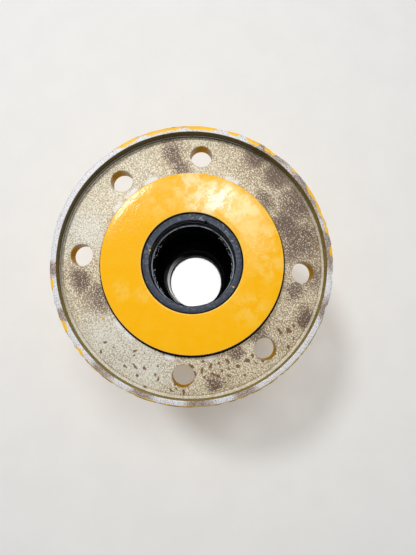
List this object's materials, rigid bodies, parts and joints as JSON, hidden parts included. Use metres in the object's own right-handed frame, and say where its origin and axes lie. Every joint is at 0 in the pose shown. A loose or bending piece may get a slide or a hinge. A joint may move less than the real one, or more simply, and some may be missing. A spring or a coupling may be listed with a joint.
{
  "type": "track roller",
  "caption": "Flanged track roller whose rim turns on a hollow fixed axle with painted end collars and a recessed bolt flange.",
  "frame": {"origin": "middle of the roller, on its axis", "axes": "+Z along the roller axis towards the bolt flange; X through the middle hole of each row of three"},
  "size_m": [0.25, 0.25, 0.264],
  "materials": {
    "rim_steel": "forged steel, yellow paint with the turned end faces wiped bare",
    "collar_paint": "gloss yellow paint",
    "axle_steel": "dark oiled steel",
    "ground_steel": "ground",
    "bush_bronze": "turned, oily",
    "washer_copper": "dull",
    "black_rubber": "matte",
    "seal_rubber": "matte, slightly dusty"
  },
  "bodies": {
    "axle": {"axle_tube": "axle_steel", "end_collar_outer": "collar_paint", "end_collar_inner": "collar_paint", "collar_o_ring_outer": "black_rubber", "collar_o_ring_inner": "black_rubber", "collar_lock_ring_outer": "ground_steel", "collar_lock_ring_inner": "ground_steel", "dust_seal_outer": "seal_rubber", "dust_seal_inner": "seal_rubber", "pin_bush_outer": "bush_bronze", "pin_bush_inner": "bush_bronze", "fixed_seal_ring_outer": "ground_steel", "fixed_seal_ring_inner": "ground_steel", "fixed_seal_toric_outer": "black_rubber", "fixed_seal_toric_inner": "black_rubber", "oil_plug": "ground_steel", "plug_washer": "washer_copper"},
    "rim": {"roller_rim": "rim_steel", "roller_bush_outer": "bush_bronze", "roller_bush_inner": "bush_bronze", "turning_seal_ring_outer": "ground_steel", "turning_seal_ring_inner": "ground_steel", "turning_seal_toric_outer": "black_rubber", "turning_seal_toric_inner": "black_rubber"}
  },
  "joints": [
    {"name": "roller_spin", "type": "hinge", "parent": "axle", "child": "rim", "pos_m": [0, 0, 0], "axis": [0, 0, 1], "continuous": true}
  ]
}
